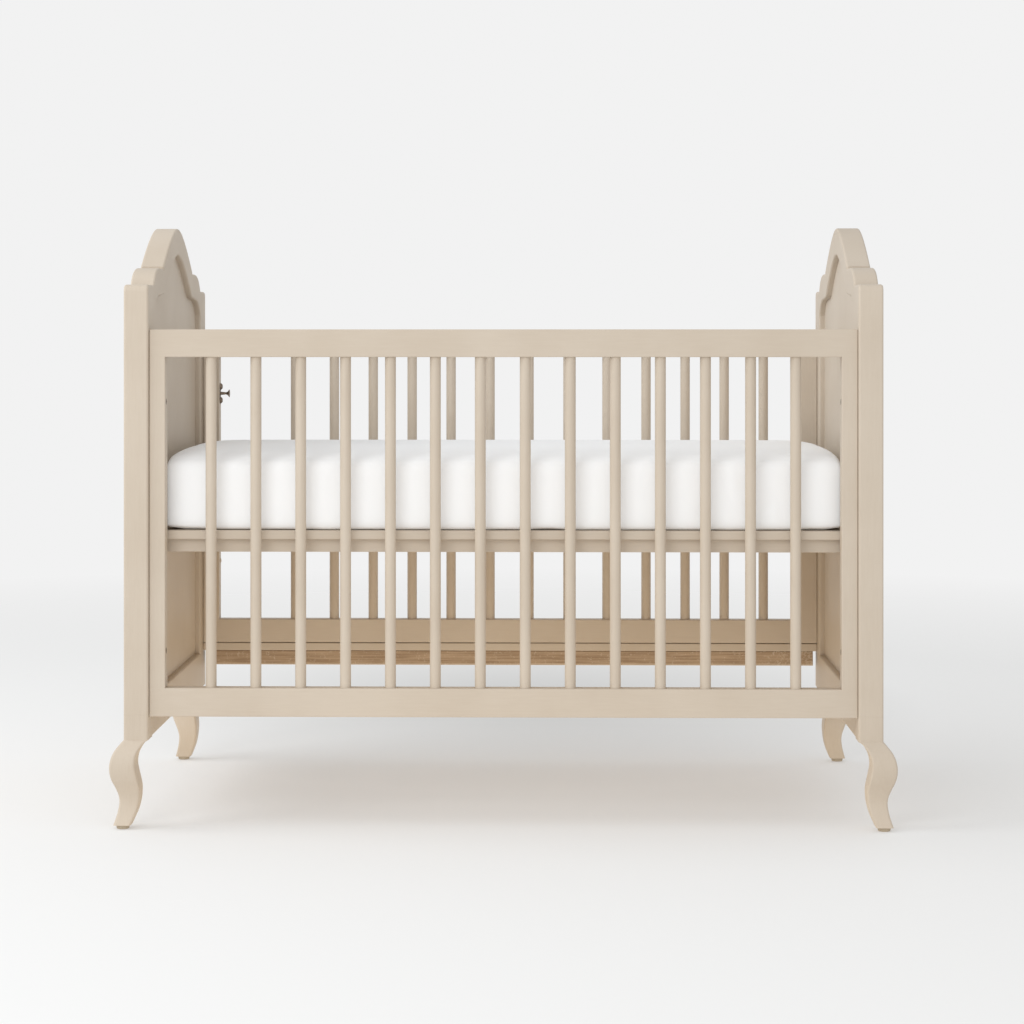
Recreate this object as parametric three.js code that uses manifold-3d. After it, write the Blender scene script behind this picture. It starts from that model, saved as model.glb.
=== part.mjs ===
// A baby crib: two crowned end panels on cabriole legs, two barred sides, a mattress base and a mattress.
// Millimetres, +X along the crib, +Y towards the rear, +Z up. The origin is on the floor at the middle.
import * as THREE from "three";
import { mergeVertices } from "three/addons/utils/BufferGeometryUtils.js";
import Module from "manifold-3d";

const wasm = await Module();
wasm.setup();

// Driving dimensions
const mattressLength = 1200;
const mattressWidth = 600;
const mattressThickness = 130;
const mattressEdgeRadius = 28;
const mattressEndClearance = 15; // mattress to each end panel
const mattressSideClearance = 8; // mattress to each barred side
const gap = 0.3; // between pieces that touch
const holeClearance = 0.3; // around a rod in its hole

const panelThickness = 43; // end panels and leg blanks
const legHeight = 152; // floor to the underside of the end panels
const legBlockHeight = 44; // square block that each leg has above its carved part
const shoulderAboveSide = 78; // top of the sides to the flat shoulders of the crown
const fieldDepth = 11; // recessed field in each face of an end panel
const fieldMargin = 65; // panel's edge to the side of the field
const fieldBottomAboveLeg = 69; // panel's underside to the field's lower edge
const fieldDrop = 50; // the field's arch below the crown

const sideThickness = 27; // rails and stiles, front to back
const sideSetBack = 8; // panel's edge to the outer face of a side
const sideEndClearance = 0.8; // end of a side to the end panel
const frontBottomAboveLeg = 40; // end panels' underside to the underside of the front side
const frontSideHeight = 673;
const topRailHeight = 48;
const bottomRailHeight = 49.5; // of the front side
const rearBottomRailHeight = 46;
const stileWidth = 27.5; // of the front side
const rearStileWidth = 32;
const sideEdgeEase = 3; // flat on the long edges of rails and stiles
const barCount = 14;
const barDiameter = 19;
const barSocketDepth = 12;

const sillThickness = 15;
const sillWidth = 29;
const sillClearance = 1.2; // sill to the rear side above it
const battenAboveFront = 3; // underside of the front side to the underside of the batten
const battenHeight = 29;
const battenThickness = 20;
const battenSetBack = 5;
const battenEndClearance = 8;

const deckThickness = 15;
const deckTopAboveSide = 321; // underside of the front side to the top of the mattress base
const deckSideClearance = 5; // deck to the sides
const deckEndClearance = 4; // deck to the end panels
const baseRailHeight = 23;
const baseRailThickness = 20;
const baseRailSetBack = 14;
const boardEdgeEase = 1.5; // flat on the long edges of thin boards

const glideHeight = 6.5;
const glideDiameter = 24;
const upperBoltBelowTop = 126; // top of the front side to its upper bolts
const lowerBoltAboveBottom = 113;
const boltHeadDiameter = 11;
const boltHeadThickness = 5;
const boltShankDiameter = 6;
const boltReach = 24; // length of the bolt inside the end panel
const boltSocketRadius = 2.4; // hexagon socket in the head
const boltSocketDepth = 3;
const pinBelowTop = 126; // top of the rear side to its catch pins
const pinDiameter = 5.5;
const pinReach = 19.3; // from the stile's inner edge to the pin's head
const pinHeadDiameter = 15.5;
const pinHeadThickness = 3.5;

// Places that follow from them
const innerX = mattressLength / 2 + mattressEndClearance;
const outerX = innerX + panelThickness;
const sideInnerY = mattressWidth / 2 + mattressSideClearance;
const sideOuterY = sideInnerY + sideThickness;
const sideMiddleY = sideInnerY + sideThickness / 2;
const edgeY = sideOuterY + sideSetBack;
const frontBottomHeight = legHeight + frontBottomAboveLeg;
const sideTopHeight = frontBottomHeight + frontSideHeight;
const shoulderHeight = sideTopHeight + shoulderAboveSide;
const sideEndX = innerX - sideEndClearance;
const stileInnerX = sideEndX - stileWidth;
const rearStileInnerX = sideEndX - rearStileWidth;
const barPitch = (2 * stileInnerX) / (barCount + 1);
const battenBottom = frontBottomHeight + battenAboveFront;
const sillBottom = battenBottom + battenHeight + gap;
const sillTop = sillBottom + sillThickness;
const rearBottomHeight = sillTop + sillClearance;
const pinHeight = sideTopHeight - pinBelowTop;
const boltHeights = [sideTopHeight - upperBoltBelowTop, frontBottomHeight + lowerBoltAboveBottom];
const deckTopHeight = frontBottomHeight + deckTopAboveSide;
const deckBottomHeight = deckTopHeight - deckThickness;

const crib = new THREE.Group();

const paint = () => new THREE.MeshStandardMaterial({ color: 0xd5cbbe, roughness: 0.5, metalness: 0 });
const rawWood = () => new THREE.MeshStandardMaterial({ color: 0xa5886a, roughness: 0.8, metalness: 0 });
const sheetCloth = () => new THREE.MeshStandardMaterial({ color: 0xf6f6f6, roughness: 0.95, metalness: 0 });
const bronze = () => new THREE.MeshStandardMaterial({ color: 0x6f5f50, roughness: 0.4, metalness: 1 });
const felt = () => new THREE.MeshStandardMaterial({ color: 0xa89a86, roughness: 0.9, metalness: 0 });

function addPiece(name, geometry, material) {
  const mesh = new THREE.Mesh(geometry, material);
  mesh.name = name;
  crib.add(mesh);
  return mesh;
}

// Joining and cutting

function toSolid(geometry) {
  const bare = geometry.clone();
  bare.deleteAttribute("normal");
  bare.deleteAttribute("uv");
  const merged = mergeVertices(bare, 1e-3);
  return new wasm.Manifold(
    new wasm.Mesh({
      numProp: 3,
      vertProperties: merged.attributes.position.array,
      triVerts: new Uint32Array(merged.index.array),
    }),
  );
}

function toGeometry(solid) {
  const mesh = solid.getMesh();
  const geometry = new THREE.BufferGeometry();
  geometry.setAttribute("position", new THREE.BufferAttribute(mesh.vertProperties, 3));
  geometry.setIndex(new THREE.BufferAttribute(mesh.triVerts, 1));
  return geometry;
}

function cut(geometry, tools) {
  let solid = toSolid(geometry);
  for (const tool of tools) solid = solid.subtract(toSolid(tool));
  return toGeometry(solid);
}

// Basic shapes

function box(low, high) {
  const size = high.map((value, axis) => value - low[axis]);
  const middle = high.map((value, axis) => (value + low[axis]) / 2);
  return new THREE.BoxGeometry(...size).translate(...middle);
}

// A board between two corners, with a small flat on its four long edges, and square ends.
function board(low, high, ease) {
  const size = high.map((value, axis) => value - low[axis]);
  const long = size.indexOf(Math.max(...size));
  const [wide, thick] = [0, 1, 2].filter((axis) => axis !== long).map((axis) => size[axis]);
  const outline = new THREE.Shape();
  const [x, y] = [wide / 2, thick / 2];
  const corners = [
    [x - ease, -y],
    [x, ease - y],
    [x, y - ease],
    [x - ease, y],
    [ease - x, y],
    [-x, y - ease],
    [-x, ease - y],
    [ease - x, -y],
  ];
  outline.setFromPoints(corners.map(([u, v]) => new THREE.Vector2(u, v)));
  const length = size[long];
  const geometry = new THREE.ExtrudeGeometry(outline, { depth: length, bevelEnabled: false });
  geometry.translate(0, 0, -length / 2);
  if (long === 0) {
    // the outline's x lies along +Y and its y along +Z
    geometry.applyMatrix4(new THREE.Matrix4().set(0, 0, 1, 0, 1, 0, 0, 0, 0, 1, 0, 0, 0, 0, 0, 1));
  }
  if (long === 1) {
    // the outline's x lies along -X and its y along +Z
    geometry.applyMatrix4(new THREE.Matrix4().set(-1, 0, 0, 0, 0, 0, 1, 0, 0, 1, 0, 0, 0, 0, 0, 1));
  }
  return geometry.translate(...high.map((value, axis) => (value + low[axis]) / 2));
}

// A turned piece from a list of [radius, height along the axis].
function turned(profile, segments) {
  return new THREE.LatheGeometry(
    profile.map(([radius, height]) => new THREE.Vector2(radius, height)),
    segments,
  );
}

// A plain round rod between two distances along an axis, at a place given by the other two coordinates.
function rodUpright(x, y, low, high, diameter, segments) {
  const radius = diameter / 2;
  const rod = turned([[0, low], [radius, low], [radius, high], [0, high]], segments);
  return rod.rotateX(Math.PI / 2).rotateZ(Math.PI / segments).translate(x, y, 0);
}

// Turns a piece lathed about +Y so that it lies along X, away from the crib's middle on the given side.
function layAlongX(geometry, side) {
  return geometry.rotateZ(-side * Math.PI / 2);
}

// End panels: an outline with a stepped crown, a shallow field in both faces, notches for the leg blocks

const crown = {
  cornerRadius: 13,
  lobeStart: 66, // distances from the panel's edge
  archStart: 172,
  lobeBend: 22, // distances from the lobe's start
  lobeTop: 66,
  archBendShare: 0.69, // share of the way from the arch's start to the middle
  lobeRise: 32, // heights above the shoulder
  archFoot: 36,
  archRise: 112,
};

// Draws the crown from the front lobe over the arch to the rear lobe, above shoulders at the given height.
function drawCrown(outline, shoulder, lobeStart) {
  const front = (distance) => distance - edgeY;
  const rear = (distance) => edgeY - distance;
  const lobe = shoulder + crown.lobeRise;
  const foot = shoulder + crown.archFoot;
  const top = shoulder + crown.archRise;
  const lobeBend = lobeStart + crown.lobeBend;
  const lobeTop = lobeStart + crown.lobeTop;
  const archBend = crown.archStart + crown.archBendShare * (edgeY - crown.archStart);
  outline.lineTo(front(lobeStart), shoulder);
  outline.quadraticCurveTo(front(lobeBend), lobe, front(lobeTop), lobe);
  outline.lineTo(front(crown.archStart), lobe);
  outline.lineTo(front(crown.archStart), foot);
  outline.quadraticCurveTo(front(archBend), top, 0, top);
  outline.quadraticCurveTo(rear(archBend), top, rear(crown.archStart), foot);
  outline.lineTo(rear(crown.archStart), lobe);
  outline.lineTo(rear(lobeTop), lobe);
  outline.quadraticCurveTo(rear(lobeBend), lobe, rear(lobeStart), shoulder);
}

function panelOutline() {
  const outline = new THREE.Shape();
  const radius = crown.cornerRadius;
  outline.moveTo(edgeY, legHeight);
  outline.lineTo(-edgeY, legHeight);
  outline.lineTo(-edgeY, shoulderHeight - radius);
  outline.quadraticCurveTo(-edgeY, shoulderHeight, radius - edgeY, shoulderHeight);
  drawCrown(outline, shoulderHeight, crown.lobeStart);
  outline.lineTo(edgeY - radius, shoulderHeight);
  outline.quadraticCurveTo(edgeY, shoulderHeight, edgeY, shoulderHeight - radius);
  outline.closePath();
  return outline;
}

function fieldOutline() {
  const outline = new THREE.Shape();
  const bottom = legHeight + fieldBottomAboveLeg;
  outline.moveTo(edgeY - fieldMargin, bottom);
  outline.lineTo(fieldMargin - edgeY, bottom);
  drawCrown(outline, shoulderHeight - fieldDrop, fieldMargin);
  outline.closePath();
  return outline;
}

// An outline drawn in Y and Z, made a plate from low to high along X.
function plateAcrossX(outline, low, high) {
  const geometry = new THREE.ExtrudeGeometry(outline, {
    depth: high - low,
    bevelEnabled: false,
    curveSegments: 8,
  });
  // the outline's x becomes +Y, its y becomes +Z, and its depth becomes +X
  geometry.applyMatrix4(new THREE.Matrix4().set(0, 0, 1, 0, 1, 0, 0, 0, 0, 1, 0, 0, 0, 0, 0, 1));
  return geometry.translate(low, 0, 0);
}

const over = 5; // how far a cutting shape runs past the face that it cuts
const boltHoleSegments = 12;

function addEndPanel(name, side) {
  const near = side > 0 ? innerX : -outerX;
  const far = near + panelThickness;
  const tools = [
    plateAcrossX(fieldOutline(), near - over, near + fieldDepth),
    plateAcrossX(fieldOutline(), far - fieldDepth, far + over),
  ];
  for (const end of [-1, 1]) {
    const edge = end * edgeY;
    const inner = end * (edgeY - panelThickness - gap);
    tools.push(
      box(
        [near - over, Math.min(edge + end * over, inner), legHeight - over],
        [far + over, Math.max(edge + end * over, inner), legHeight + legBlockHeight + gap],
      ),
    );
  }
  const radius = boltShankDiameter / 2 + holeClearance;
  for (const height of boltHeights) {
    const [start, end] = [innerX - over, innerX + boltReach + gap];
    const hole = turned([[0, start], [radius, start], [radius, end], [0, end]], boltHoleSegments);
    tools.push(layAlongX(hole, side).translate(0, -sideMiddleY, height));
  }
  addPiece(name, cut(plateAcrossX(panelOutline(), near, far), tools), paint());
}

addEndPanel("left_end_panel", -1);
addEndPanel("right_end_panel", 1);

// Cabriole legs: square blanks carved in an S that leans out along both X and Y, each on a glide

// Each station is [share of the leg's height, how far the middle has moved out, share of the blank's width].
const legStations = [
  [1, 0, 1],
  [0.968, 6, 0.93],
  [0.9, 13.8, 0.955],
  [0.83, 18.6, 0.985],
  [0.74, 20.9, 1.025],
  [0.65, 19.9, 1.065],
  [0.56, 17, 1.055],
  [0.47, 13, 0.97],
  [0.38, 10.7, 0.86],
  [0.3, 10.7, 0.8],
  [0.2, 13.6, 0.765],
  [0.11, 18.2, 0.725],
  [(glideHeight + gap) / legHeight, 22, 0.7],
];
const footMove = legStations.at(-1)[1];
const legEdgeRadius = 5;
const blockEdgeRadius = 1;
const legStationSteps = 2; // rings between two stations

// A square ring with rounded corners, centred at (x, y) at one height.
function squareRing(x, y, z, width, cornerRadius) {
  const points = [];
  const reach = width / 2 - cornerRadius;
  for (let corner = 0; corner < 4; corner++) {
    const start = (corner * Math.PI) / 2;
    const cornerX = reach * (corner === 0 || corner === 3 ? 1 : -1);
    const cornerY = reach * (corner < 2 ? 1 : -1);
    for (const step of [0, 1, 2]) {
      const angle = start + (step * Math.PI) / 4;
      points.push([
        x + cornerX + cornerRadius * Math.cos(angle),
        y + cornerY + cornerRadius * Math.sin(angle),
        z,
      ]);
    }
  }
  return points;
}

// Skins a stack of rings, from the lowest to the highest, and closes both ends.
function loft(rings) {
  const count = rings[0].length;
  const triangles = [];
  for (let ring = 0; ring < rings.length - 1; ring++) {
    for (let point = 0; point < count; point++) {
      const next = (point + 1) % count;
      const [a, b] = [ring * count + point, ring * count + next];
      triangles.push(a, b, b + count, a, b + count, a + count);
    }
  }
  const last = (rings.length - 1) * count;
  for (let point = 1; point < count - 1; point++) {
    triangles.push(0, point + 1, point);
    triangles.push(last, last + point, last + point + 1);
  }
  const geometry = new THREE.BufferGeometry();
  geometry.setAttribute("position", new THREE.Float32BufferAttribute(rings.flat(2), 3));
  geometry.setIndex(triangles);
  return geometry;
}

const legCurve = new THREE.CatmullRomCurve3(
  legStations.map(
    ([height, move, width]) => new THREE.Vector3(move, width * panelThickness, height * legHeight),
  ),
  false,
  "centripetal",
);

function legGeometry() {
  const x = innerX + panelThickness / 2;
  const y = edgeY - panelThickness / 2;
  const rings = [];
  const count = (legStations.length - 1) * legStationSteps;
  for (let step = count; step >= 0; step--) {
    const { x: move, y: width, z: height } = legCurve.getPoint(step / count);
    const radius = step === 0 ? blockEdgeRadius : legEdgeRadius;
    rings.push(squareRing(x + move, y + move, height, width, radius));
  }
  rings.push(squareRing(x, y, legHeight + legBlockHeight, panelThickness, blockEdgeRadius));
  return loft(rings);
}

function glideGeometry() {
  const middle = footMove + panelThickness / 2;
  const radius = glideDiameter / 2;
  const profile = [[0, 0], [radius - 1.5, 0], [radius, glideHeight], [0, glideHeight]];
  return turned(profile, 20)
    .rotateX(Math.PI / 2)
    .translate(innerX + middle, edgeY - panelThickness + middle, 0);
}

for (const [end, endSide] of [["left", -1], ["right", 1]]) {
  for (const [face, faceSide] of [["front", -1], ["rear", 1]]) {
    const leg = addPiece(`${face}_${end}_leg`, legGeometry(), paint());
    leg.scale.set(endSide, faceSide, 1);
    const glide = addPiece(`${face}_${end}_glide`, glideGeometry(), felt());
    glide.scale.set(endSide, faceSide, 1);
  }
}

// Barred sides: two rails, two stiles and round bars in blind sockets

const barSegments = 16;

function addSide(face, faceSide, bottomHeight, bottomRail, stileInner) {
  const middleY = faceSide * sideMiddleY;
  const lowY = middleY - sideThickness / 2;
  const highY = middleY + sideThickness / 2;
  const topRailBottom = sideTopHeight - topRailHeight;
  const bottomRailTop = bottomHeight + bottomRail;
  const barPlaces = Array.from({ length: barCount }, (_, index) => (index + 1) * barPitch - stileInnerX);
  const socket = barDiameter + 2 * holeClearance;
  const topSockets = [];
  const bottomSockets = [];
  for (const x of barPlaces) {
    topSockets.push(
      rodUpright(x, middleY, topRailBottom - over, topRailBottom + barSocketDepth, socket, barSegments),
    );
    bottomSockets.push(
      rodUpright(x, middleY, bottomRailTop - barSocketDepth, bottomRailTop + over, socket, barSegments),
    );
  }
  const upperRail = board([-sideEndX, lowY, topRailBottom], [sideEndX, highY, sideTopHeight], sideEdgeEase);
  const lowerRail = board([-sideEndX, lowY, bottomHeight], [sideEndX, highY, bottomRailTop], sideEdgeEase);
  addPiece(`${face}_top_rail`, cut(upperRail, topSockets), paint());
  addPiece(`${face}_bottom_rail`, cut(lowerRail, bottomSockets), paint());

  for (const [end, endSide] of [["left", -1], ["right", 1]]) {
    const [lowX, highX] = endSide > 0 ? [stileInner, sideEndX] : [-sideEndX, -stileInner];
    const stile = board([lowX, lowY, bottomRailTop + gap], [highX, highY, topRailBottom - gap], sideEdgeEase);
    addPiece(`${face}_${end}_stile`, cut(stile, stileHoles(face, endSide, middleY)), paint());
  }
  barPlaces.forEach((x, index) => {
    const low = bottomRailTop - barSocketDepth + gap;
    const high = topRailBottom + barSocketDepth - gap;
    const bar = rodUpright(x, middleY, low, high, barDiameter, barSegments);
    addPiece(`${face}_bar_${String(index + 1).padStart(2, "0")}`, bar, paint());
  });
}

// The front stiles have counterbored bolt holes, and the rear stiles a plain hole for the catch pin.
function stileHoles(face, endSide, middleY) {
  if (face === "rear") {
    const radius = pinDiameter / 2 + holeClearance;
    const [start, end] = [rearStileInnerX - over, sideEndX + over];
    const hole = turned([[0, start], [radius, start], [radius, end], [0, end]], boltHoleSegments);
    return [layAlongX(hole, endSide).translate(0, middleY, pinHeight)];
  }
  const shank = boltShankDiameter / 2 + holeClearance;
  const head = boltHeadDiameter / 2 + holeClearance;
  const seat = stileInnerX + boltHeadThickness + gap;
  return boltHeights.map((height) => {
    const profile = [
      [0, stileInnerX - over],
      [head, stileInnerX - over],
      [head, seat],
      [shank, seat],
      [shank, sideEndX + over],
      [0, sideEndX + over],
    ];
    return layAlongX(turned(profile, boltHoleSegments), endSide).translate(0, middleY, height);
  });
}

addSide("front", -1, frontBottomHeight, bottomRailHeight, stileInnerX);
addSide("rear", 1, rearBottomHeight, rearBottomRailHeight, rearStileInnerX);

// Bolts of the front side, with a hexagon socket in each head

function boltGeometry(endSide, height) {
  const shank = boltShankDiameter / 2;
  const head = boltHeadDiameter / 2;
  const profile = [
    [0, stileInnerX],
    [head, stileInnerX],
    [head, stileInnerX + boltHeadThickness],
    [shank, stileInnerX + boltHeadThickness],
    [shank, innerX + boltReach],
    [0, innerX + boltReach],
  ];
  const socket = turned(
    [
      [0, stileInnerX - over],
      [boltSocketRadius, stileInnerX - over],
      [boltSocketRadius, stileInnerX + boltSocketDepth],
      [0, stileInnerX + boltSocketDepth],
    ],
    6,
  );
  const bolt = cut(turned(profile, boltHoleSegments), [socket]);
  return layAlongX(bolt, endSide).translate(0, -sideMiddleY, height);
}

for (const [end, endSide] of [["left", -1], ["right", 1]]) {
  boltHeights.forEach((height, index) => {
    const level = index === 0 ? "upper" : "lower";
    addPiece(`front_${end}_${level}_bolt`, boltGeometry(endSide, height), bronze());
  });
}

// Catch pins of the rear side: a plain pin with a flared pull head inside the crib

function catchPinGeometry(endSide) {
  const radius = pinDiameter / 2;
  const headRadius = pinHeadDiameter / 2;
  const headX = rearStileInnerX - pinReach;
  const profile = [
    [0, headX],
    [headRadius, headX],
    [headRadius, headX + 1],
    [radius, headX + pinHeadThickness],
    [radius, sideEndX - gap],
    [0, sideEndX - gap],
  ];
  return layAlongX(turned(profile, 16), endSide).translate(0, sideMiddleY, pinHeight);
}

addPiece("left_catch_pin", catchPinGeometry(-1), bronze());
addPiece("right_catch_pin", catchPinGeometry(1), bronze());

// Sill that ties the end panels under the rear side, with a raw batten below it

const battenInnerY = sideInnerY + battenSetBack;
const battenEndX = innerX - battenEndClearance;
const sillLow = [gap - innerX, sideInnerY, sillBottom];
const sillHigh = [innerX - gap, sideInnerY + sillWidth, sillTop];
addPiece("rear_sill", board(sillLow, sillHigh, boardEdgeEase), paint());
addPiece(
  "rear_sill_batten",
  board(
    [-battenEndX, battenInnerY, battenBottom],
    [battenEndX, battenInnerY + battenThickness, battenBottom + battenHeight],
    boardEdgeEase,
  ),
  rawWood(),
);

// Mattress base: a deck on four rails

const deckEndX = innerX - deckEndClearance;
const deckY = sideInnerY - deckSideClearance;
const baseRailTop = deckBottomHeight - gap;
const baseRailBottom = baseRailTop - baseRailHeight;
const railOuterY = deckY - baseRailSetBack;
const railInnerY = railOuterY - baseRailThickness;
const deck = board([-deckEndX, -deckY, deckBottomHeight], [deckEndX, deckY, deckTopHeight], boardEdgeEase);
addPiece("base_deck", deck, paint());
for (const [face, faceSide] of [["front", -1], ["rear", 1]]) {
  const [lowY, highY] = faceSide > 0 ? [railInnerY, railOuterY] : [-railOuterY, -railInnerY];
  const rail = board([-deckEndX, lowY, baseRailBottom], [deckEndX, highY, baseRailTop], boardEdgeEase);
  addPiece(`base_${face}_rail`, rail, paint());
}
for (const [end, endSide] of [["left", -1], ["right", 1]]) {
  const inner = deckEndX - baseRailThickness;
  const [lowX, highX] = endSide > 0 ? [inner, deckEndX] : [-deckEndX, -inner];
  const [low, high] = [[lowX, gap - railInnerY, baseRailBottom], [highX, railInnerY - gap, baseRailTop]];
  const rail = board(low, high, boardEdgeEase);
  addPiece(`base_${end}_rail`, rail, paint());
}

// Mattress: a plain pad with rounded edges

function roundedRing(halfX, halfY, z, radius) {
  const points = [];
  const steps = 4;
  for (let corner = 0; corner < 4; corner++) {
    const cornerX = (halfX - radius) * (corner === 0 || corner === 3 ? 1 : -1);
    const cornerY = (halfY - radius) * (corner < 2 ? 1 : -1);
    for (let step = 0; step <= steps; step++) {
      const angle = ((corner + step / steps) * Math.PI) / 2;
      points.push([cornerX + radius * Math.cos(angle), cornerY + radius * Math.sin(angle), z]);
    }
  }
  return points;
}

function mattressGeometry() {
  const low = deckTopHeight + gap;
  const high = low + mattressThickness;
  const edge = mattressEdgeRadius;
  const rings = [];
  const steps = 4;
  for (let step = 0; step <= steps; step++) {
    const angle = ((step / steps) * Math.PI) / 2;
    const inset = edge * (1 - Math.sin(angle));
    const z = low + edge * (1 - Math.cos(angle));
    rings.push([inset, z]);
  }
  for (let step = steps; step >= 0; step--) {
    const angle = ((step / steps) * Math.PI) / 2;
    rings.push([edge * (1 - Math.sin(angle)), high - edge * (1 - Math.cos(angle))]);
  }
  return loft(
    rings.map(([inset, z]) =>
      roundedRing(mattressLength / 2 - inset, mattressWidth / 2 - inset, z, 2 * edge - inset),
    ),
  );
}

addPiece("mattress", mattressGeometry(), sheetCloth());

export default crib;
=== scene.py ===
import math

import bmesh
import bpy
from mathutils import Matrix, Vector, noise


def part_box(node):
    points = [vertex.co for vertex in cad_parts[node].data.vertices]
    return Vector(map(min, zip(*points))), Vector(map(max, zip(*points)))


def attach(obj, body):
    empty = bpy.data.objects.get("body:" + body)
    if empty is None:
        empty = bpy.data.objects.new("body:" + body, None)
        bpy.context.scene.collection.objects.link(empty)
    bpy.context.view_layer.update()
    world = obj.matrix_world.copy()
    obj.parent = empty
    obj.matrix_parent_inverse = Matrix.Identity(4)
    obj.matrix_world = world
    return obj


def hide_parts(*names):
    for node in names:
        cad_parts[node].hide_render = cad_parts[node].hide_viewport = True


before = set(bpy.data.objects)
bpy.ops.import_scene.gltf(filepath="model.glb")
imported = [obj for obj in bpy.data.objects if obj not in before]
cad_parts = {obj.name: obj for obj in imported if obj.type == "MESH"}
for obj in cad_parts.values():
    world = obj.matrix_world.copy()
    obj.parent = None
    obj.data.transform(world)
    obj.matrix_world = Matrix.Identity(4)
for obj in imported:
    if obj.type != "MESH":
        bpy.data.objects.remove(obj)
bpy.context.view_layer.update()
bpy.ops.object.select_all(action="DESELECT")


# ---------------------------------------------------------------------------------------------
# Studio: a pale floor that fades into an even white surround, with a soft shadow painted on it
# behind the crib, and that sheds a warm bounce under the crib; soft lights in front on the left
# and at the left end, a low warm fill, and a camera that looks almost straight at the front.
# ---------------------------------------------------------------------------------------------
surround_white = (0.887, 0.887, 0.887, 1)
ambient_light = (0.77, 0.78, 0.79, 1)  # what the surround sheds on the crib, less than it shows
camera_side = 0.0878
camera_distance = 4.148  # from the front edges of the end panels
camera_height = 0.848
camera_turn = math.radians(0.986)
lens_length = 84.3
view_rise = -0.1688


class Value:
    """A socket in a finish's node tree that takes part in sums as a plain number does."""

    def __init__(self, finish, socket):
        self.finish = finish
        self.socket = socket

    def _sum(self, operation, *values):
        return self.finish.node("ShaderNodeMath", {"operation": operation}, *values)

    def __add__(self, other):
        return self._sum("ADD", self, other)

    def __radd__(self, other):
        return self._sum("ADD", other, self)

    def __sub__(self, other):
        return self._sum("SUBTRACT", self, other)

    def __rsub__(self, other):
        return self._sum("SUBTRACT", other, self)

    def __mul__(self, other):
        return self._sum("MULTIPLY", self, other)

    def __rmul__(self, other):
        return self._sum("MULTIPLY", other, self)

    def __pow__(self, other):
        return self._sum("POWER", self, other)


class Finish:
    """A material with its own node tree, whose nodes are all made by one method."""

    def __init__(self, name):
        self.material = bpy.data.materials.new(name)
        self.material.use_nodes = True
        self.tree = self.material.node_tree
        self.surface = self.tree.nodes["Principled BSDF"]
        self.output = self.tree.nodes["Material Output"]

    def node(self, kind, settings=None, *values, out=0, **named):
        """Adds a node, sets it up, fills its inputs in order or by name, and returns one output."""
        made = self.tree.nodes.new(kind)
        for key, value in (settings or {}).items():
            if key == "stops":
                ramp = made.color_ramp.elements
                while len(ramp) < len(value):
                    ramp.new(1)
                for element, (place, colour) in zip(ramp, value):
                    element.position = place
                    element.color = colour
            else:
                setattr(made, key, value)
        for index, value in enumerate(values):
            self.feed(made.inputs[index], value)
        for key, value in named.items():
            self.feed(made.inputs[key.replace("_", " ")], value)
        return Value(self, made.outputs[out])

    def feed(self, socket, value):
        if isinstance(value, Value):
            self.tree.links.new(value.socket, socket)
        else:
            socket.default_value = value

    def set(self, **sockets):
        """Sets or links sockets of the surface shader."""
        for key, value in sockets.items():
            self.feed(self.surface.inputs[key.replace("_", " ")], value)

    def place(self, scale=(1, 1, 1)):
        """Object coordinates, stretched by a scale along each axis."""
        where = self.node("ShaderNodeTexCoord", out=3)
        return self.node("ShaderNodeMapping", None, Vector=where, Scale=scale)

    def noise(self, where, scale, detail=2.0, roughness=0.5):
        return self.node("ShaderNodeTexNoise", None, Vector=where, Scale=scale, Detail=detail,
                         Roughness=roughness)

    def between(self, value, low, high, to_low=0.0, to_high=1.0):
        """The value spread so that low becomes to_low and high becomes to_high, and held there."""
        return self.node("ShaderNodeMapRange", {"clamp": True}, value, low, high, to_low, to_high)

    def blend(self, share, first, second):
        """A colour from first, where share is 0, to second, where it is 1."""
        made = self.tree.nodes.new("ShaderNodeMix")
        made.data_type = "RGBA"
        self.feed(made.inputs[0], share)
        self.feed(made.inputs[6], first)
        self.feed(made.inputs[7], second)
        return Value(self, made.outputs[2])

    def bump(self, height, strength, distance, under=None):
        named = {"Height": height, "Strength": strength, "Distance": distance}
        if under is not None:
            named["Normal"] = under
        return self.node("ShaderNodeBump", None, **named)


def pick(piece):
    """Deselects everything but one piece, which becomes the active one."""
    bpy.ops.object.select_all(action="DESELECT")
    piece.select_set(True)
    bpy.context.view_layer.objects.active = piece


def wear(piece, finish):
    """Gives a piece one finish all over."""
    piece.data.materials.clear()
    piece.data.materials.append(finish.material)


floor_size = 60
floor_fade = (2.2, 4.4)  # distances from the crib between which the floor fades away
floor_glow = 0.30  # the floor's own light, which keeps the shadows on it faint
floor_drop = 0.0005  # below the foot pads
# the second colour is a painted shadow, laid on the floor behind the crib
plain_glow, painted_shadow_glow, bounced_glow = (1, 1, 1, 1), (0.38, 0.38, 0.375, 1), (2.5, 2.02, 1.35, 1)
painted_shadow_behind, painted_shadow_depth_scale, painted_shadow_fade = 0.95, 0.85, (0.1, 0.95)
bounce_length_scale, bounce_fade = 0.6, (0.32, 0.62)
bpy.ops.mesh.primitive_plane_add(size=floor_size, location=(0, 0, -floor_drop))
studio_floor = bpy.context.object
studio_floor.name = "studio_floor"
floor_finish = Finish("studio_floor_white")
behind = floor_finish.node("ShaderNodeMapping", None, Vector=floor_finish.place(),
                           Location=(0, -painted_shadow_behind, 0), Scale=(1, painted_shadow_depth_scale, 1))
from_painted_shadow = floor_finish.node("ShaderNodeVectorMath", {"operation": "LENGTH"}, behind, out=1)
painted_floor_shadow = floor_finish.between(from_painted_shadow, *painted_shadow_fade, 1, 0)  # shadow painted on the floor where the crib keeps light off
floor_shown = floor_finish.blend(painted_floor_shadow, plain_glow, painted_shadow_glow)
under = floor_finish.place((bounce_length_scale, 1, 1))
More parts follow.
